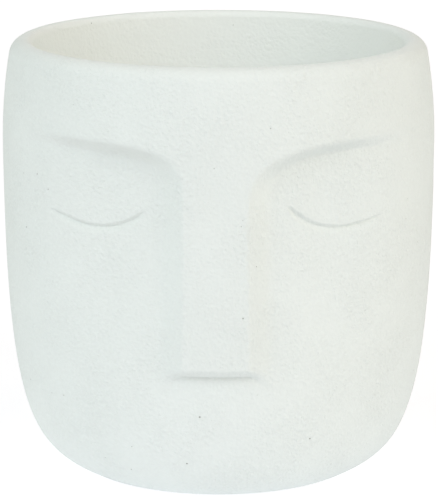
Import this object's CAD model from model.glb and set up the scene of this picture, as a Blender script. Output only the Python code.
import bmesh
import bpy
import math
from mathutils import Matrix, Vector


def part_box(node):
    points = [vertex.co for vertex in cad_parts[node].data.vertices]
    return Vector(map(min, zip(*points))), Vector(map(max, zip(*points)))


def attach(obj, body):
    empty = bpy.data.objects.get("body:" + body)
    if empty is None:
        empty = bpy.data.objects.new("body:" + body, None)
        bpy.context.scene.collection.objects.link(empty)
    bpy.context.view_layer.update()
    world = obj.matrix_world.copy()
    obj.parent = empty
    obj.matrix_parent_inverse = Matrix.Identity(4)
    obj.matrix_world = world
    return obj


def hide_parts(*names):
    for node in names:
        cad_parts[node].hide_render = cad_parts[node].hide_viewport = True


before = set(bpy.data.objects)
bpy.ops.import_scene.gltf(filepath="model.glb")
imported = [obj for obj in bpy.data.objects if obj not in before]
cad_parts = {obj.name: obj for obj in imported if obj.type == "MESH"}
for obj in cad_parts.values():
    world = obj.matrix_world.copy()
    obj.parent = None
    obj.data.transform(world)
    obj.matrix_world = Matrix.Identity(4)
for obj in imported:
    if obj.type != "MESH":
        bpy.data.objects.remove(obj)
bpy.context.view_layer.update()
mm = 0.001

# Camera
# A long lens a metre away looks a little down on the planter, so that the whole
# mouth shows as a thin oval and the sides stay almost upright.
pot_low, pot_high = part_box("pot")
pot_height = pot_high.z - pot_low.z
pot_middle = Vector((0, 0, (pot_low.z + pot_high.z) / 2))

photo_width_px = 438
photo_height_px = 500
pot_middle_px = (218.6, 248.3)
focal_length_px = 2844.3
camera_distance = 1.0
camera_elevation = math.radians(12.74)
camera_azimuth = math.radians(0.8)

to_camera = Vector((
    math.sin(camera_azimuth) * math.cos(camera_elevation),
    -math.cos(camera_azimuth) * math.cos(camera_elevation),
    math.sin(camera_elevation),
))
camera = bpy.data.objects.new("camera", bpy.data.cameras.new("camera"))
bpy.context.collection.objects.link(camera)
camera.data.lens = focal_length_px / photo_height_px * camera.data.sensor_width
camera.data.shift_x = (photo_width_px / 2 - pot_middle_px[0]) / photo_height_px
camera.data.shift_y = (pot_middle_px[1] - photo_height_px / 2) / photo_height_px
camera.location = pot_middle + to_camera * camera_distance
camera.rotation_mode = "QUATERNION"
camera.rotation_quaternion = (-to_camera).to_track_quat("-Z", "Y")
bpy.context.scene.camera = camera

# Pot
# One heavy casting of fine cement: a barrel turned on its axis with a calm, flat-nosed
# face raised on the front, cast in a mould and sprayed with a thin matt white paint.
belly_radius = (pot_high.y - pot_low.y) / 2
belly_height = pot_height * 0.76
shoulder_radius = 185 * mm
foot_radius = 49 * mm
foot_angle = math.radians(27)
foot_reach = (belly_radius - foot_radius) * 0.617
belly_reach = belly_height * 0.877
lip_outer_round = 5.4 * mm
lip_inner_round = 2.6 * mm
flank_wall = 12 * mm
floor_thickness = 12 * mm
floor_corner = 12 * mm
base_ring_width = 21 * mm
recess_radius = foot_radius - base_ring_width
recess_depth = 3 * mm
recess_draft = 2 * mm
drain_radius = 6 * mm
seat_radius = 10 * mm
seat_depth = 3 * mm
seat_height = floor_thickness - seat_depth
soft_edge = 0.5 * mm

# Spacing of the section's rows: on the foot's curve as a share of it, then up the face with
# stops that are shares of the pot's height, close together at nose tip, eyelids and brows
foot_curve_end = 0.5
foot_curve_step = 0.035
first_flank_share = 0.02
face_row_gaps = (
    (0.298, 1.6 * mm),
    (0.352, 0.36 * mm),
    (0.616, 1.3 * mm),
    (0.714, 0.3 * mm),
    (0.876, 0.65 * mm),
)
shoulder_row_gap = 1.5 * mm
lip_step = math.radians(9)
wall_row_gap = 5 * mm
floor_corner_step = math.radians(11)
floor_row_gap = 6 * mm


def flank_point(t):
    """Radius and height on the curve from the foot edge, at 0, to the belly, at 1."""
    radii = (foot_radius, foot_radius + foot_reach, belly_radius, belly_radius)
    heights = (0, foot_reach * math.tan(foot_angle), belly_height - belly_reach, belly_height)
    weights = ((1 - t) ** 3, 3 * (1 - t) ** 2 * t, 3 * (1 - t) * t ** 2, t ** 3)
    return (
        sum(w * r for w, r in zip(weights, radii)),
        sum(w * h for w, h in zip(weights, heights)),
    )


def barrel_radius(height):
    """Outer radius of the plain barrel at a height above its base."""
    if height >= belly_height:
        rise = height - belly_height
        return belly_radius - shoulder_radius + math.sqrt(shoulder_radius ** 2 - rise ** 2)
    low, high = 0.0, 1.0
    while high - low > 1e-7:
        t = (low + high) / 2
        if flank_point(t)[1] < height:
            low = t
        else:
            high = t
    return flank_point(low)[0]


def steps(start, end, gap):
    """Numbers from just past start to end, evenly spaced about a gap apart."""
    count = max(1, round(abs(end - start) / gap))
    return [start + (end - start) * (i + 1) / count for i in range(count)]


def line_points(start, end, gap):
    """Points on a straight run of the section, from just past its start to its end."""
    shares = steps(0, 1, gap / math.dist(start, end))
    return [tuple(a + (b - a) * share for a, b in zip(start, end)) for share in shares]


def soft_corner(before, corner, after, size):
    """Points that round one corner of the section, with one more on each side to hold the flats."""
    into = (Vector(before) - Vector(corner)).normalized() * size
    out_of = (Vector(after) - Vector(corner)).normalized() * size
    start, end = Vector(corner) + into, Vector(corner) + out_of
    curve = [
        (1 - t) ** 2 * start + 2 * (1 - t) * t * Vector(corner) + t ** 2 * end
        for t in (0, 0.5, 1)
    ]
    return [tuple(p) for p in (start + into / 2, *curve, end + out_of / 2)]


def outside_section():
    """Up the outside, from just above the foot edge to the start of the lip."""
    rows = [flank_point(t) for t in steps(0, foot_curve_end, foot_curve_step)]
    height = rows[-1][1]
    stops = [(pot_height * share, gap) for share, gap in face_row_gaps]
    for stop, gap in stops + [(lip_start_height, shoulder_row_gap)]:
        rows += [(barrel_radius(z), z) for z in steps(height, stop, gap)]
        height = stop
    return rows


def inside_section():
    """Down the drafted wall of the cavity and round the corner of its floor."""
    wall_top = (lip_crest_radius - lip_inner_round, pot_height - lip_inner_round)
    foot_height = floor_thickness + floor_corner
    wall_foot = (barrel_radius(foot_height) - flank_wall, foot_height)
    rows = line_points(wall_top, wall_foot, wall_row_gap)
    for angle in steps(0, math.pi / 2, floor_corner_step):
        rows.append((
            wall_foot[0] - floor_corner * (1 - math.cos(angle)),
            wall_foot[1] - floor_corner * math.sin(angle),
        ))
    return rows


def floor_section(start):
    """Across the floor, down the seat and drain hole, and out under the base to the foot edge."""
    corners = [
        start,
        (seat_radius, floor_thickness),
        (seat_radius, seat_height),
        (drain_radius, seat_height),
        (drain_radius, recess_depth),
        (recess_radius - recess_draft, recess_depth),
        (recess_radius, 0.0),
        (foot_radius, 0.0),
        flank_point(first_flank_share),
    ]
    seat_side = (seat_radius + 2 * soft_edge, floor_thickness)
    rows = line_points(start, seat_side, floor_row_gap)[:-1]
    for before, corner, after in zip(corners, corners[1:], corners[2:]):
        rows += soft_corner(before, corner, after, soft_edge)
    return rows


# The lip's round starts where the shoulder leans in by this angle, and is tighter inside
lip_reach = shoulder_radius - lip_outer_round
lip_lean = math.asin((pot_height - lip_outer_round - belly_height) / lip_reach)
lip_crest_radius = belly_radius - shoulder_radius + lip_reach * math.cos(lip_lean)
lip_start_height = pot_height - lip_outer_round * (1 - math.sin(lip_lean))

outside = outside_section()
lip_halves = [
    [
        (lip_crest_radius + radius * math.cos(a), pot_height - radius * (1 - math.sin(a)))
        for a in steps(start, end, lip_step)
    ]
    for radius, start, end in (
        (lip_outer_round, lip_lean, math.pi / 2),
        (lip_inner_round, math.pi / 2, math.pi),
    )
]
lip = lip_halves[0] + lip_halves[1]
inside = inside_section()
base = floor_section(inside[-1])

section = bpy.data.meshes.new("pot_section")
section_points = outside + lip + inside + base
point_count = len(section_points)
section.from_pydata(
    [(radius, 0, height) for radius, height in section_points],
    [(i, (i + 1) % point_count) for i in range(point_count)],
    [],
)
for name, values in (
    ("section_radius", [radius for radius, _ in section_points]),
    ("section_height", [height for _, height in section_points]),
    ("face_share", [1.0] * len(outside) + [0.0] * (point_count - len(outside))),
    ("uneven_share", [1.0] * (point_count - len(base)) + [0.0] * len(base)),
    (
        "sealer_share",
        [0.0] * len(outside) + steps(0, 1, 1 / len(lip)) + [1.0] * len(inside + base),
    ),
):
    section.attributes.new(name, "FLOAT", "POINT").data.foreach_set("value", values)


def add(tree, kind, inputs=(), **settings):
    """Adds a node with its settings. Its inputs, by order or by name, are set, or linked from
    a socket or from another node's first output in use."""
    node = tree.nodes.new(kind)
    for name, value in settings.items():
        setattr(node, name, value)
    for key, value in inputs.items() if isinstance(inputs, dict) else enumerate(inputs):
        if isinstance(value, bpy.types.Node):
            value = next(socket for socket in value.outputs if socket.enabled)
        if isinstance(value, bpy.types.NodeSocket):
            tree.links.new(value, node.inputs[key])
        else:
            node.inputs[key].default_value = value
    return node


def new_tree(name, sizes):
    """A Geometry Nodes tree with one named input for each size, and its input and output nodes."""
    tree = bpy.data.node_groups.new(name, "GeometryNodeTree")
    tree.interface.new_socket("Geometry", in_out="INPUT", socket_type="NodeSocketGeometry")
    tree.interface.new_socket("Geometry", in_out="OUTPUT", socket_type="NodeSocketGeometry")
    for size_name in sizes:
        kind = "NodeSocketInt" if isinstance(sizes[size_name], int) else "NodeSocketFloat"
        tree.interface.new_socket(size_name, in_out="INPUT", socket_type=kind)
    return tree, add(tree, "NodeGroupInput").outputs


def made_mesh(name, template, tree, sizes):
    """Runs a tree on a template mesh and gives the result as an object with a plain mesh."""
    piece = bpy.data.objects.new(name, template)
    bpy.context.collection.objects.link(piece)
    modifier = piece.modifiers.new(tree.name, "NODES")
    modifier.node_group = tree
    for socket in tree.interface.items_tree:
        if socket.name in sizes:
            modifier[socket.identifier] = sizes[socket.name]
    evaluated = piece.evaluated_get(bpy.context.evaluated_depsgraph_get())
    made = bpy.data.meshes.new_from_object(evaluated)
    piece.modifiers.remove(modifier)
    piece.data = made
    made.name = name
    bpy.data.meshes.remove(template)
    return piece


face_sizes = {
    "Base Height": pot_low.z,
    "Ring Points": 370,
    "Front Spacing": 0.42,
    "Back Stretch": 7.0,
    "Belly Radius": belly_radius,
    "Belly Height": belly_height,
    "Socket Depth": 6.5 * mm,
    "Socket Full": belly_radius * 0.46,
    "Socket End": belly_radius * 0.92,
    "Cheek Start": pot_height * 0.07,
    "Cheek Full": pot_height * 0.70,
    "Brow End": belly_radius * 0.80,
    "Brow Peak": pot_height * 0.823,
    "Left Brow Droop": pot_height * 0.055,
    "Right Brow Droop": pot_height * 0.111,
    "Brow Bend": 3.0,
    "Brow Ramp": 5.6 * mm,
    "Brow End Ramp": 5.1 * mm,
    "Brow Narrow Start": belly_radius * 0.32,
    "Brow Narrow End": belly_radius * 0.96,
    "Nose Half Width": 10.3 * mm,
    "Nose Ramp": 10.4 * mm,
    "Nose Tip": pot_height * 0.342,
    "Nose Tip Ramp": 4.2 * mm,
    "Nose Corner Rise": 5 * mm,
    "Nose Corner Ease": 1.5,
    "Nose Corner Spread": 3.2,
    "Tip Crease Depth": 0.35 * mm,
    "Tip Crease Width": 0.35,
    "Brow Top Round": 0.42,
    "Nose Edge Round": 0.09,
    "Nose Edge From": 2.0,
    "Brow Foot Round": 0.2,
    "Brow Foot Until": 1.0,
    "Ramp Foot Round": 0.42,
    "Ramp Foot From": 3.0,
    "Ramp Blend": 0.75,
    "Corner Blend": 1.9,
    "Tip Foot Round": 0.1,
    "Eye Middle": belly_radius * 0.55,
    "Eye Height": pot_height * 0.673,
    "Eye Half Length": belly_radius * 0.214,
    "Eye Sagitta": 5.7 * mm,
    "Eye Slant": math.radians(7.6),
    "Eye Turn": math.radians(3.2),
    "Eye Groove Depth": 1.2 * mm,
    "Eye Groove Upper Half": 1.0 * mm,
    "Eye Groove Lower Half": 3.0 * mm,
    "Eye Groove Softness": 0.14 * mm,
    "Eye End Ease": 4.0,
    "Dip Depth": 0.35 * mm,
    "Dip Height": pot_height * 0.715,
    "Dip Half Width": 5 * mm,
    "Dip Half Height": 9 * mm,
    "Unevenness": 0.16 * mm,
    "Uneven Patch": 24 * mm,
}
body_tree, size = new_tree("head_planter_body", face_sizes)
MATH = "ShaderNodeMath"

# Ring that the section is swept round, its points closest together on the face
index = add(body_tree, "GeometryNodeInputIndex")
turn_share = add(body_tree, MATH, [index, size["Ring Points"]], operation="DIVIDE")
turn = add(body_tree, MATH, [turn_share, 2.0, -1.0], operation="MULTIPLY_ADD")
turn_far = add(body_tree, MATH, [turn, size["Back Stretch"]], operation="POWER")
near_part = add(body_tree, MATH, [turn, size["Front Spacing"]], operation="MULTIPLY")
far_share = add(body_tree, MATH, [1.0, size["Front Spacing"]], operation="SUBTRACT")
turn_eased = add(body_tree, MATH, [turn_far, far_share, near_part], operation="MULTIPLY_ADD")
ring_angle = add(body_tree, MATH, [turn_eased, math.pi], operation="MULTIPLY")
ring = add(body_tree, "GeometryNodeCurvePrimitiveCircle", {"Resolution": size["Ring Points"]})
ring = add(
    body_tree,
    "GeometryNodeStoreNamedAttribute",
    {"Geometry": ring, "Name": "ring_angle", "Value": ring_angle},
)
section_curve = add(body_tree, "GeometryNodeMeshToCurve", {"Mesh": size["Geometry"]})
skin = add(body_tree, "GeometryNodeCurveToMesh", {"Curve": ring, "Profile Curve": section_curve})
skin = add(body_tree, "GeometryNodeFlipFaces", [skin])

# Where each point of the skin stands on the plain barrel
angle = add(body_tree, "GeometryNodeInputNamedAttribute", {"Name": "ring_angle"})
barrel = add(body_tree, "GeometryNodeInputNamedAttribute", {"Name": "section_radius"})
height = add(body_tree, "GeometryNodeInputNamedAttribute", {"Name": "section_height"})
face_share = add(body_tree, "GeometryNodeInputNamedAttribute", {"Name": "face_share"})
sine = add(body_tree, MATH, [angle], operation="SINE")
cosine = add(body_tree, MATH, [angle], operation="COSINE")
across = add(body_tree, MATH, [barrel, sine], operation="MULTIPLY")
out = add(body_tree, MATH, [across], operation="ABSOLUTE")

# Below the brow, which droops towards the nose: 0 at the top of its ramp, 1 at its foot
brow_share = add(body_tree, MATH, [out, size["Brow End"]], operation="DIVIDE", use_clamp=True)
brow_reach = add(body_tree, MATH, [1.0, brow_share], operation="SUBTRACT")
brow_reach = add(body_tree, MATH, [brow_reach, size["Brow Bend"]], operation="POWER")
side_share = add(body_tree, MATH, [across, size["Nose Half Width"]], operation="DIVIDE")
full_droop = add(
    body_tree,
    "ShaderNodeMapRange",
    {
        "Value": side_share,
        "From Min": -1.0,
        "From Max": 1.0,
        "To Min": size["Left Brow Droop"],
        "To Max": size["Right Brow Droop"],
    },
    interpolation_type="SMOOTHSTEP",
)
brow_droop = add(body_tree, MATH, [brow_reach, full_droop], operation="MULTIPLY")
brow_middle = add(body_tree, MATH, [size["Brow Peak"], brow_droop], operation="SUBTRACT")
brow_width = add(
    body_tree,
    "ShaderNodeMapRange",
    {
        "Value": out,
        "From Min": size["Brow Narrow Start"],
        "From Max": size["Brow Narrow End"],
        "To Min": size["Brow Ramp"],
        "To Max": size["Brow End Ramp"],
    },
    interpolation_type="SMOOTHSTEP",
)
below_middle = add(body_tree, MATH, [brow_middle, height], operation="SUBTRACT")
below_share = add(body_tree, MATH, [below_middle, brow_width], operation="DIVIDE")
below_brow = add(body_tree, MATH, [below_share, 0.5], operation="ADD")

# Off the nose: the same measure beside it and under its tip
past_edge = add(body_tree, MATH, [out, size["Nose Half Width"]], operation="SUBTRACT")
beside_nose = add(body_tree, MATH, [past_edge, size["Nose Ramp"]], operation="DIVIDE")
beside_far = add(body_tree, MATH, [beside_nose, 0.0], operation="MAXIMUM")
corner_rise = add(body_tree, MATH, [beside_far, size["Nose Corner Ease"]], operation="POWER")
tip_height = add(
    body_tree,
    MATH,
    [corner_rise, size["Nose Corner Rise"], size["Nose Tip"]],
    operation="MULTIPLY_ADD",
)
below_tip = add(body_tree, MATH, [tip_height, height], operation="SUBTRACT")
tip_spread = add(
    body_tree,
    "ShaderNodeMapRange",
    {"Value": beside_far, "To Min": 1.0, "To Max": size["Nose Corner Spread"]},
    interpolation_type="SMOOTHSTEP",
)
tip_ramp = add(body_tree, MATH, [size["Nose Tip Ramp"], tip_spread], operation="MULTIPLY")
under_nose = add(body_tree, MATH, [below_tip, tip_ramp], operation="DIVIDE")
under_far = add(body_tree, MATH, [under_nose, 0.0], operation="MAXIMUM")
under_far = add(body_tree, MATH, [under_far, under_far], operation="MULTIPLY")
off_nose = add(body_tree, "ShaderNodeCombineXYZ", [beside_far, under_far])
off_nose = add(body_tree, "ShaderNodeVectorMath", [off_nose], operation="LENGTH")
off_ridge = add(
    body_tree, MATH, [below_brow, off_nose, size["Corner Blend"]], operation="SMOOTH_MIN"
)

# The ramp itself, soft at the brow, crisp along the nose and soft at its foot
top_round = add(
    body_tree,
    "ShaderNodeMapRange",
    {
        "Value": below_brow,
        "From Max": size["Nose Edge From"],
        "To Min": size["Brow Top Round"],
        "To Max": size["Nose Edge Round"],
    },
    interpolation_type="SMOOTHSTEP",
)
side_foot_round = add(
    body_tree,
    "ShaderNodeMapRange",
    {
        "Value": below_brow,
        "From Min": size["Brow Foot Until"],
        "From Max": size["Ramp Foot From"],
        "To Min": size["Brow Foot Round"],
        "To Max": size["Ramp Foot Round"],
    },
    interpolation_type="SMOOTHSTEP",
)
tip_lead = add(body_tree, MATH, [under_far, beside_far], operation="SUBTRACT")
foot_round = add(
    body_tree,
    "ShaderNodeMapRange",
    {
        "Value": tip_lead,
        "To Min": side_foot_round,
        "To Max": size["Tip Foot Round"],
    },
    interpolation_type="SMOOTHSTEP",
)
rounds = add(body_tree, MATH, [top_round, foot_round], operation="ADD")
straight = add(body_tree, MATH, [2.0, rounds], operation="SUBTRACT")
steepness = add(body_tree, MATH, [2.0, straight], operation="DIVIDE")
half_top = add(body_tree, MATH, [top_round, 0.5], operation="MULTIPLY")
past_top = add(body_tree, MATH, [off_ridge, half_top], operation="SUBTRACT")
slope = add(body_tree, MATH, [past_top, steepness], operation="MULTIPLY")
blend = add(body_tree, MATH, [steepness, size["Ramp Blend"]], operation="MULTIPLY")
top_blend = add(body_tree, MATH, [top_round, blend], operation="MULTIPLY")
foot_blend = add(body_tree, MATH, [foot_round, blend], operation="MULTIPLY")
eased_top = add(body_tree, MATH, [slope, 0.0, top_blend], operation="SMOOTH_MAX")
away = add(body_tree, MATH, [eased_top, 1.0, foot_blend], operation="SMOOTH_MIN")
on_ridge = add(body_tree, MATH, [1.0, away], operation="SUBTRACT")

# Sockets and cheeks lie back from the barrel, and the nose stands forward of the flank
sideways = add(
    body_tree,
    "ShaderNodeMapRange",
    {
        "Value": out,
        "From Min": size["Socket Full"],
        "From Max": size["Socket End"],
        "To Min": size["Socket Depth"],
        "To Max": 0.0,
    },
    interpolation_type="SMOOTHSTEP",
)
upward = add(
    body_tree,
    "ShaderNodeMapRange",
    {"Value": height, "From Min": size["Cheek Start"], "From Max": size["Cheek Full"]},
    interpolation_type="SMOOTHSTEP",
)
set_back = add(body_tree, MATH, [sideways, upward], operation="MULTIPLY")
set_back = add(body_tree, MATH, [set_back, away], operation="MULTIPLY")
is_flank = add(body_tree, MATH, [height, size["Belly Height"]], operation="LESS_THAN")
short_of_belly = add(body_tree, MATH, [size["Belly Radius"], barrel], operation="SUBTRACT")
forward = add(body_tree, MATH, [short_of_belly, is_flank], operation="MULTIPLY")
forward = add(body_tree, MATH, [forward, on_ridge], operation="MULTIPLY")
relief = add(body_tree, MATH, [forward, set_back], operation="SUBTRACT")

# Closed eyelids: a groove along a sagging arc, each arc turned a little
side = add(body_tree, MATH, [across, 0.0], operation="GREATER_THAN")
side = add(body_tree, MATH, [side, 2.0, -1.0], operation="MULTIPLY_ADD")
eye_middle = add(body_tree, MATH, [side, size["Eye Middle"]], operation="MULTIPLY")
from_middle = add(body_tree, MATH, [across, eye_middle], operation="SUBTRACT")
above_middle = add(body_tree, MATH, [height, size["Eye Height"]], operation="SUBTRACT")
eye_turn = add(
    body_tree, MATH, [side, size["Eye Slant"], size["Eye Turn"]], operation="MULTIPLY_ADD"
)
eye_place = add(body_tree, "ShaderNodeCombineXYZ", [from_middle, above_middle])
eye_place = add(
    body_tree,
    "ShaderNodeVectorRotate",
    {"Vector": eye_place, "Angle": eye_turn},
    rotation_type="Z_AXIS",
)
eye_place = add(body_tree, "ShaderNodeSeparateXYZ", [eye_place]).outputs
along = add(body_tree, MATH, [eye_place["X"], size["Eye Half Length"]], operation="DIVIDE")
along_squared = add(body_tree, MATH, [along, along], operation="MULTIPLY")
to_middle = add(body_tree, MATH, [along_squared, 1.0], operation="SUBTRACT")
arc = add(body_tree, MATH, [to_middle, size["Eye Sagitta"]], operation="MULTIPLY")
off_arc = add(body_tree, MATH, [eye_place["Y"], arc], operation="SUBTRACT")
arc_rise = add(body_tree, MATH, [size["Eye Sagitta"], size["Eye Half Length"]], operation="DIVIDE")
arc_tilt = add(body_tree, MATH, [along, arc_rise], operation="MULTIPLY")
arc_tilt = add(body_tree, MATH, [arc_tilt, 2.0], operation="MULTIPLY")
arc_stretch = add(body_tree, MATH, [arc_tilt, arc_tilt, 1.0], operation="MULTIPLY_ADD")
arc_stretch = add(body_tree, MATH, [arc_stretch], operation="SQRT")
off_arc = add(body_tree, MATH, [off_arc, arc_stretch], operation="DIVIDE")
end_fade = add(body_tree, MATH, [along_squared, size["Eye End Ease"]], operation="POWER")
groove_floor = add(body_tree, MATH, [1.0, end_fade], operation="SUBTRACT")
upper_share = add(body_tree, MATH, [off_arc, size["Eye Groove Upper Half"]], operation="DIVIDE")
lower_half = add(body_tree, MATH, [size["Eye Groove Lower Half"], -1.0], operation="MULTIPLY")
lower_share = add(body_tree, MATH, [off_arc, lower_half], operation="DIVIDE", use_clamp=True)
run_out = add(body_tree, MATH, [2.0, lower_share], operation="SUBTRACT")
lower_share = add(body_tree, MATH, [lower_share, run_out], operation="MULTIPLY")
wall_share = add(body_tree, MATH, [upper_share, lower_share], operation="MAXIMUM")
groove = add(body_tree, MATH, [groove_floor, wall_share], operation="SUBTRACT")
groove = add(body_tree, MATH, [groove, size["Eye Groove Depth"]], operation="MULTIPLY")
groove = add(body_tree, MATH, [groove, 0.0, size["Eye Groove Softness"]], operation="SMOOTH_MAX")

# Crease where the underside of the nose meets the chin
off_foot = add(body_tree, MATH, [off_nose, 1.0], operation="SUBTRACT")
off_foot = add(body_tree, MATH, [off_foot, size["Tip Crease Width"]], operation="DIVIDE")
off_foot = add(body_tree, MATH, [off_foot, off_foot], operation="MULTIPLY")
crease = add(body_tree, MATH, [off_foot, -1.0], operation="MULTIPLY")
crease = add(body_tree, MATH, [crease], operation="EXPONENT")
at_tip = add(body_tree, "ShaderNodeMapRange", [tip_lead], interpolation_type="SMOOTHSTEP")
crease = add(body_tree, MATH, [crease, at_tip], operation="MULTIPLY")
crease = add(body_tree, MATH, [crease, size["Tip Crease Depth"]], operation="MULTIPLY")

# Faint hollow between the brows
dip_across = add(body_tree, MATH, [across, size["Dip Half Width"]], operation="DIVIDE")
dip_across = add(body_tree, MATH, [dip_across, dip_across], operation="MULTIPLY")
dip_up = add(body_tree, MATH, [height, size["Dip Height"]], operation="SUBTRACT")
dip_up = add(body_tree, MATH, [dip_up, size["Dip Half Height"]], operation="DIVIDE")
dip_off = add(body_tree, MATH, [dip_up, dip_up, dip_across], operation="MULTIPLY_ADD")
dip_off = add(body_tree, MATH, [dip_off, -1.0], operation="MULTIPLY")
dip = add(body_tree, MATH, [dip_off], operation="EXPONENT")
dip = add(body_tree, MATH, [dip, size["Dip Depth"]], operation="MULTIPLY")

# Skin in its place, with the relief on the front half of the outside alone
relief = add(body_tree, MATH, [relief, groove], operation="SUBTRACT")
relief = add(body_tree, MATH, [relief, crease], operation="SUBTRACT")
relief = add(body_tree, MATH, [relief, dip], operation="SUBTRACT")
is_front = add(body_tree, MATH, [cosine, 0.0], operation="GREATER_THAN")
relief = add(body_tree, MATH, [relief, is_front], operation="MULTIPLY")
radius = add(body_tree, MATH, [relief, face_share, barrel], operation="MULTIPLY_ADD")
minus_radius = add(body_tree, MATH, [radius, -1.0], operation="MULTIPLY")
place = add(
    body_tree,
    "ShaderNodeCombineXYZ",
    [
        add(body_tree, MATH, [radius, sine], operation="MULTIPLY"),
        add(body_tree, MATH, [minus_radius, cosine], operation="MULTIPLY"),
        add(body_tree, MATH, [height, size["Base Height"]], operation="ADD"),
    ],
)
skin = add(body_tree, "GeometryNodeSetPosition", {"Geometry": skin, "Position": place})

# Slow unevenness of a hand-finished casting
patches = add(body_tree, MATH, [1.0, size["Uneven Patch"]], operation="DIVIDE")
wave = add(body_tree, "ShaderNodeTexNoise", {"Scale": patches, "Detail": 1.0})
wave = add(body_tree, MATH, [wave, 0.5], operation="SUBTRACT")
uneven_share = add(body_tree, "GeometryNodeInputNamedAttribute", {"Name": "uneven_share"})
wave = add(body_tree, MATH, [wave, uneven_share], operation="MULTIPLY")
wave = add(body_tree, MATH, [wave, size["Unevenness"]], operation="MULTIPLY")
wave = add(body_tree, MATH, [wave, 2.0], operation="MULTIPLY")
normal = add(body_tree, "GeometryNodeInputNormal")
drift = add(
    body_tree, "ShaderNodeVectorMath", {"Vector": normal, "Scale": wave}, operation="SCALE"
)
skin = add(body_tree, "GeometryNodeSetPosition", {"Geometry": skin, "Offset": drift})
skin = add(body_tree, "GeometryNodeSetShadeSmooth", {"Geometry": skin})


def linear(hex_colour):
    """An sRGB colour such as #E8EDE8 as linear red, green, blue and alpha."""
    shares = [int(hex_colour[i:i + 2], 16) / 255 for i in (1, 3, 5)]
    return [s / 12.92 if s <= 0.04045 else ((s + 0.055) / 1.055) ** 2.4 for s in shares] + [1.0]


# Painted cast cement: poured into a mould, sanded and sprayed matt. The paint hides the
# grey but keeps the sand, which gives the eye a fine dry grain and a few dark air pinholes.
paint_white = linear("#E9EEE9")
paint_thin = linear("#E5EAE5")
sealer_white = linear("#F4F7F2")
pinhole_grey = linear("#A6A7A0")
grain_size = 1.1 * mm
grit_size = 1.4 * mm
grain_depth = 0.6 * mm
patch_size = 16 * mm
stain_size = 38 * mm
pinhole_gap = 4.6 * mm
pinhole_radius = 0.36 * mm
pinhole_depth = 0.25 * mm
grit_share = 0.35
smooth_patch_sand = 0.55
sealed_sand = 0.5
closed_air_share = 0.74
smallest_pinhole = 0.35
smoothest_paint = 0.78
roughest_paint = 0.92

cement = bpy.data.materials.new("painted_cast_cement")
cement.use_nodes = True
nodes = cement.node_tree
nodes.nodes.clear()
place = add(nodes, "ShaderNodeTexCoord").outputs["Object"]

# Sand grain, rougher in some patches than in others
grain = add(nodes, "ShaderNodeTexNoise", {"Vector": place, "Scale": 1 / grain_size, "Detail": 2.0})
grit = add(
    nodes, "ShaderNodeTexVoronoi", {"Vector": place, "Scale": 1 / grit_size}, feature="SMOOTH_F1"
)
patch = add(nodes, "ShaderNodeTexNoise", {"Vector": place, "Scale": 1 / patch_size, "Detail": 1.0})
rough_patch = add(
    nodes,
    "ShaderNodeMapRange",
    {"Value": patch, "From Min": 0.35, "From Max": 0.65, "To Min": smooth_patch_sand},
)
sand = add(nodes, MATH, [grit, grit_share, grain], operation="MULTIPLY_ADD")
sand = add(nodes, MATH, [sand, rough_patch], operation="MULTIPLY")
sealed = add(nodes, "ShaderNodeAttribute", attribute_name="sealer_share").outputs["Fac"]
sand_shown = add(
    nodes, "ShaderNodeMapRange", {"Value": sealed, "To Min": 1.0, "To Max": sealed_sand}
)
sand = add(nodes, MATH, [sand, sand_shown], operation="MULTIPLY")

# Pinholes: small balls of air that the surface happened to cut
air = add(nodes, "ShaderNodeTexVoronoi", {"Vector": place, "Scale": 1 / pinhole_gap})
pinhole_share = pinhole_radius / pinhole_gap
air_kind = add(nodes, "ShaderNodeSeparateColor", {"Color": air.outputs["Color"]}).outputs
air_size = add(
    nodes, "ShaderNodeMapRange", {"Value": air_kind["Green"], "To Min": smallest_pinhole}
)
air_away = add(nodes, MATH, [air, air_size], operation="DIVIDE")
pinhole = add(
    nodes,
    "ShaderNodeMapRange",
    {
        "Value": air_away,
        "From Min": pinhole_share / 2,
        "From Max": pinhole_share,
        "To Min": 1.0,
        "To Max": 0.0,
    },
)
open_air = add(nodes, MATH, [air_kind["Red"], closed_air_share], operation="GREATER_THAN")
pinhole = add(nodes, MATH, [pinhole, open_air], operation="MULTIPLY")

# Colour: thinner paint in slow clouds and in the low spots of the grain
cloud = add(nodes, "ShaderNodeTexNoise", {"Vector": place, "Scale": 1 / stain_size, "Detail": 3.0})
low_spot = add(nodes, MATH, [1.0, grain], operation="SUBTRACT")
thin_share = add(nodes, MATH, [cloud, low_spot], operation="MULTIPLY")
thin_share = add(
    nodes, "ShaderNodeMapRange", {"Value": thin_share, "From Min": 0.12, "From Max": 0.38}
)
paint = add(
    nodes, "ShaderNodeMix", {0: thin_share, 6: paint_white, 7: paint_thin}, data_type="RGBA"
)
paint = add(nodes, "ShaderNodeMix", {0: sealed, 6: paint, 7: sealer_white}, data_type="RGBA")
paint = add(nodes, "ShaderNodeMix", {0: pinhole, 6: paint, 7: pinhole_grey}, data_type="RGBA")

pit = add(nodes, MATH, [pinhole, -1.0], operation="MULTIPLY")
grain_bump = add(
    nodes, "ShaderNodeBump", {"Strength": 1.0, "Distance": grain_depth, "Height": sand}
)
surface_bump = add(
    nodes,
    "ShaderNodeBump",
    {"Strength": 1.0, "Distance": pinhole_depth, "Height": pit, "Normal": grain_bump},
)
roughness = add(
    nodes,
    "ShaderNodeMapRange",
    {"Value": rough_patch, "To Min": smoothest_paint, "To Max": roughest_paint},
)
coat = add(
    nodes,
    "ShaderNodeBsdfPrincipled",
    {"Base Color": paint, "Roughness": roughness, "IOR": 1.5, "Normal": surface_bump},
)
add(nodes, "ShaderNodeOutputMaterial", {"Surface": coat})

skin = add(body_tree, "GeometryNodeRealizeInstances", {"Geometry": skin})
skin = add(body_tree, "GeometryNodeSetMaterial", {"Geometry": skin, "Material": cement})
add(body_tree, "NodeGroupOutput", [skin])

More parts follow.
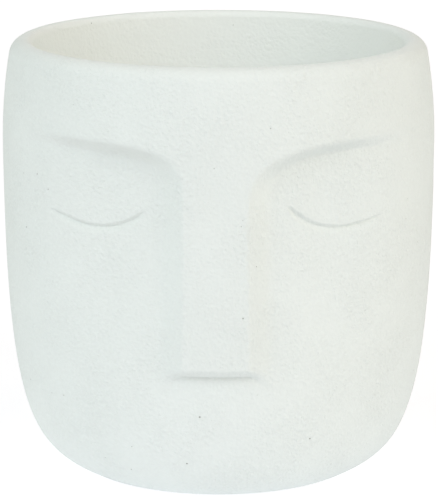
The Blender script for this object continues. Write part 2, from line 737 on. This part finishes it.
pot = made_mesh("cast_pot", section, body_tree, face_sizes)
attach(pot, "pot_body")
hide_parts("pot")

# Drain plug
# A bung moulded in soft black rubber, pushed into the drain hole from inside until its
# head is flush with the floor. A bar across the cup in its head gives a grip to pull it.
plug_edge = 0.25 * mm
weld_distance = 0.001 * mm
flat_angle = math.radians(2)
edge_angle = math.radians(35)
crease_angle = math.radians(50)
plug_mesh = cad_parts["drain_plug"].data.copy()
plug_mesh.name = "rubber_bung"
plug_mesh.materials.clear()
work = bmesh.new()
work.from_mesh(plug_mesh)
bmesh.ops.remove_doubles(work, verts=work.verts, dist=weld_distance)
bmesh.ops.dissolve_limit(work, angle_limit=flat_angle, verts=work.verts, edges=work.edges)
sharp = [e for e in work.edges if e.is_manifold and e.calc_face_angle() > edge_angle]
bmesh.ops.bevel(
    work, geom=sharp, offset=plug_edge, segments=2, profile=0.5, affect="EDGES", clamp_overlap=True
)
for face in work.faces:
    face.smooth = True
work.to_mesh(plug_mesh)
work.free()
plug_mesh.set_sharp_from_angle(angle=crease_angle)

# Moulded rubber: nearly black and matt, with a faint grey bloom and a fine mould skin
rubber_black = linear("#1B1B1C")
bloom_grey = linear("#333332")
bloom_size = 6 * mm
mould_grain = 0.35 * mm
mould_depth = 0.015 * mm
bare_rubber_roughness = 0.5
bloom_roughness = 0.68

rubber = bpy.data.materials.new("soft_black_rubber")
rubber.use_nodes = True
nodes = rubber.node_tree
nodes.nodes.clear()
place = add(nodes, "ShaderNodeTexCoord").outputs["Object"]
bloom = add(nodes, "ShaderNodeTexNoise", {"Vector": place, "Scale": 1 / bloom_size, "Detail": 3.0})
bloom = add(nodes, "ShaderNodeMapRange", {"Value": bloom, "From Min": 0.4, "From Max": 0.75})
colour = add(nodes, "ShaderNodeMix", {0: bloom, 6: rubber_black, 7: bloom_grey}, data_type="RGBA")
mould = add(nodes, "ShaderNodeTexNoise", {"Vector": place, "Scale": 1 / mould_grain, "Detail": 1.0})
mould = add(nodes, "ShaderNodeBump", {"Strength": 1.0, "Distance": mould_depth, "Height": mould})
roughness = add(
    nodes,
    "ShaderNodeMapRange",
    {"Value": bloom, "To Min": bare_rubber_roughness, "To Max": bloom_roughness},
)
coat = add(
    nodes,
    "ShaderNodeBsdfPrincipled",
    {"Base Color": colour, "Roughness": roughness, "IOR": 1.52, "Normal": mould},
)
add(nodes, "ShaderNodeOutputMaterial", {"Surface": coat})
plug_mesh.materials.append(rubber)

plug = bpy.data.objects.new("rubber_bung", plug_mesh)
bpy.context.collection.objects.link(plug)
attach(plug, "plug")
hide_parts("drain_plug")

# Foot pads
# Four round bumpers of milky soft rubber, stuck under the foot so that the cement doesn't
# scratch a table. Each has a soft lower edge and is pressed a little wider by the weight.
pad_radius = 6 * mm
pad_thickness = 2 * mm
pad_edge = 0.5 * mm
pad_sides = 48
pad_edge_step = math.radians(15)
pad_inset = 13 * mm
pad_section = [(0, 0), (pad_radius - pad_edge, 0)]
for angle in steps(0, math.pi / 2, pad_edge_step):
    pad_section.append((
        pad_radius - pad_edge * (1 - math.sin(angle)),
        pad_edge * (1 - math.cos(angle)),
    ))
pad_section += [(pad_radius, pad_thickness), (0, pad_thickness)]

pad_mesh = bpy.data.meshes.new("pad")
work = bmesh.new()
line = [work.verts.new((radius, 0, height)) for radius, height in pad_section]
edges = [work.edges.new(ends) for ends in zip(line, line[1:])]
bmesh.ops.spin(
    work, geom=line + edges, cent=(0, 0, 0), axis=(0, 0, 1), angle=math.tau, steps=pad_sides
)
bmesh.ops.remove_doubles(work, verts=work.verts, dist=weld_distance)
bmesh.ops.recalc_face_normals(work, faces=work.faces)
for face in work.faces:
    face.smooth = True
work.to_mesh(pad_mesh)
work.free()
pad_mesh.set_sharp_from_angle(angle=crease_angle)

# Clear rubber filled with fine air: pale, slightly see-through at its edge, a satin skin
milk_white = linear("#D3D1C8")
milk_warm = linear("#C3BFB2")
milk_cloud = 3 * mm
pad_glow_depth = 0.8 * mm
pad_glow_share = 0.4
pad_sheen = 0.35
pad_dullest = 0.5

milky = bpy.data.materials.new("milky_soft_rubber")
milky.use_nodes = True
nodes = milky.node_tree
nodes.nodes.clear()
place = add(nodes, "ShaderNodeTexCoord").outputs["Object"]
cloud = add(nodes, "ShaderNodeTexNoise", {"Vector": place, "Scale": 1 / milk_cloud, "Detail": 2.0})
colour = add(nodes, "ShaderNodeMix", {0: cloud, 6: milk_white, 7: milk_warm}, data_type="RGBA")
roughness = add(
    nodes, "ShaderNodeMapRange", {"Value": cloud, "To Min": pad_sheen, "To Max": pad_dullest}
)
coat = add(
    nodes,
    "ShaderNodeBsdfPrincipled",
    {
        "Base Color": colour,
        "Roughness": roughness,
        "IOR": 1.42,
        "Subsurface Weight": pad_glow_share,
        "Subsurface Scale": pad_glow_depth,
    },
)
add(nodes, "ShaderNodeOutputMaterial", {"Surface": coat})

pad_sizes = {
    "Pad Count": 4,
    "Circle Radius": foot_radius - pad_inset,
    "First Angle": math.radians(45),
}
pad_tree, size = new_tree("stuck_on_pads", pad_sizes)
spots = add(
    pad_tree,
    "GeometryNodeMeshCircle",
    {"Vertices": size["Pad Count"], "Radius": size["Circle Radius"]},
)
turned = add(pad_tree, "ShaderNodeCombineXYZ", {"Z": size["First Angle"]})
spots = add(pad_tree, "GeometryNodeTransform", {"Geometry": spots, "Rotation": turned})
pads = add(
    pad_tree, "GeometryNodeInstanceOnPoints", {"Points": spots, "Instance": size["Geometry"]}
)
pads = add(pad_tree, "GeometryNodeRealizeInstances", {"Geometry": pads})
pads = add(pad_tree, "GeometryNodeSetMaterial", {"Geometry": pads, "Material": milky})
add(pad_tree, "NodeGroupOutput", [pads])

pads = made_mesh("foot_pads", pad_mesh, pad_tree, pad_sizes)
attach(pads, "pot_body")
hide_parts("foot_pad_1", "foot_pad_2", "foot_pad_3", "foot_pad_4")

# Floor, light and world
# A white sweep in a light tent: even white light from everywhere, brightest in a pool on
# the table round the pot, two big soft lamps high in front and small ones at the sides.
floor_half = 4.0
floor_mesh = bpy.data.meshes.new("studio_floor")
floor_mesh.from_pydata(
    [(x * floor_half, y * floor_half, 0) for x, y in ((-1, -1), (1, -1), (1, 1), (-1, 1))],
    [],
    [(0, 1, 2, 3)],
)
studio_floor = bpy.data.objects.new("studio_floor", floor_mesh)
bpy.context.collection.objects.link(studio_floor)

paper_white = linear("#C4C4C4")
pool_white = linear("#E5EEFF")
table_white = linear("#FEFCFF")
plain_white = linear("#FFFFFF")
pool_start = 0.08
pool_end = 0.35
pool_strength = 0.24
table_strength = 0.32
seen_lift = 0.3
sweep = bpy.data.materials.new("white_paper_sweep")
sweep.use_nodes = True
nodes = sweep.node_tree
nodes.nodes.clear()
seen = add(nodes, "ShaderNodeLightPath").outputs["Is Camera Ray"]
place = add(nodes, "ShaderNodeTexCoord").outputs["Object"]
away = add(nodes, "ShaderNodeVectorMath", [place], operation="LENGTH").outputs["Value"]
pool = add(
    nodes,
    "ShaderNodeMapRange",
    {
        "Value": away,
        "From Min": pool_start,
        "From Max": pool_end,
        "To Min": pool_strength,
        "To Max": 0.0,
    },
    interpolation_type="SMOOTHSTEP",
)
pool_glow = add(nodes, "ShaderNodeEmission", {"Color": pool_white, "Strength": pool})
table_glow = add(nodes, "ShaderNodeEmission", {"Color": table_white, "Strength": table_strength})
paper = add(nodes, "ShaderNodeBsdfDiffuse", {"Color": paper_white})
paper = add(nodes, "ShaderNodeAddShader", [paper, table_glow])
paper_lit = add(nodes, "ShaderNodeAddShader", [paper, pool_glow])
lift = add(nodes, "ShaderNodeEmission", {"Color": plain_white, "Strength": seen_lift})
paper_seen = add(nodes, "ShaderNodeAddShader", [paper, lift])
paper_lit = add(nodes, "ShaderNodeMixShader", [seen, paper_lit, paper_seen])
add(nodes, "ShaderNodeOutputMaterial", {"Surface": paper_lit})
floor_mesh.materials.append(sweep)

tent_white = linear("#FFF9F6")
tent_strength = 0.425
tent = bpy.data.worlds.new("light_tent")
bpy.context.scene.world = tent
tent.use_nodes = True
nodes = tent.node_tree
nodes.nodes.clear()
seen = add(nodes, "ShaderNodeLightPath").outputs["Is Camera Ray"]
glow = add(nodes, "ShaderNodeBackground", {"Color": tent_white, "Strength": tent_strength})
backdrop = add(nodes, "ShaderNodeBackground", {"Color": plain_white, "Strength": 1.0})
glow = add(nodes, "ShaderNodeMixShader", [seen, glow, backdrop])
add(nodes, "ShaderNodeOutputWorld", {"Surface": glow})

for name, place, width, power, colour in (
    ("right_softbox", (0.95, -1.1, 1.0), 0.9, 9.1, "#FFFCF9"),
    ("left_softbox", (-0.95, -1.1, 1.0), 0.9, 8.7, "#E5F2FF"),
    ("high_left_softbox", (-1.25, -0.2, 1.3), 0.5, 2.4, "#E5FFF9"),
    ("high_right_softbox", (1.25, -0.2, 1.3), 0.5, 1.7, "#FFF5E5"),
    ("left_reflector", (-1.4, -0.2, 0.45), 0.8, 1.5, "#FFFFE5"),
    ("right_reflector", (1.4, -0.2, 0.45), 0.8, 1.6, "#FFFFE5"),
    ("back_reflector", (0.0, 1.6, 0.3), 0.8, 3.5, "#FFFFFF"),
):
    lamp = bpy.data.objects.new(name, bpy.data.lights.new(name, "AREA"))
    bpy.context.collection.objects.link(lamp)
    lamp.data.size = width
    lamp.data.energy = power
    lamp.data.color = linear(colour)[:3]
    lamp.location = place
    lamp.rotation_mode = "QUATERNION"
    lamp.rotation_quaternion = (pot_middle - lamp.location).to_track_quat("-Z", "Y")

bpy.context.scene.view_settings.view_transform = "Standard"
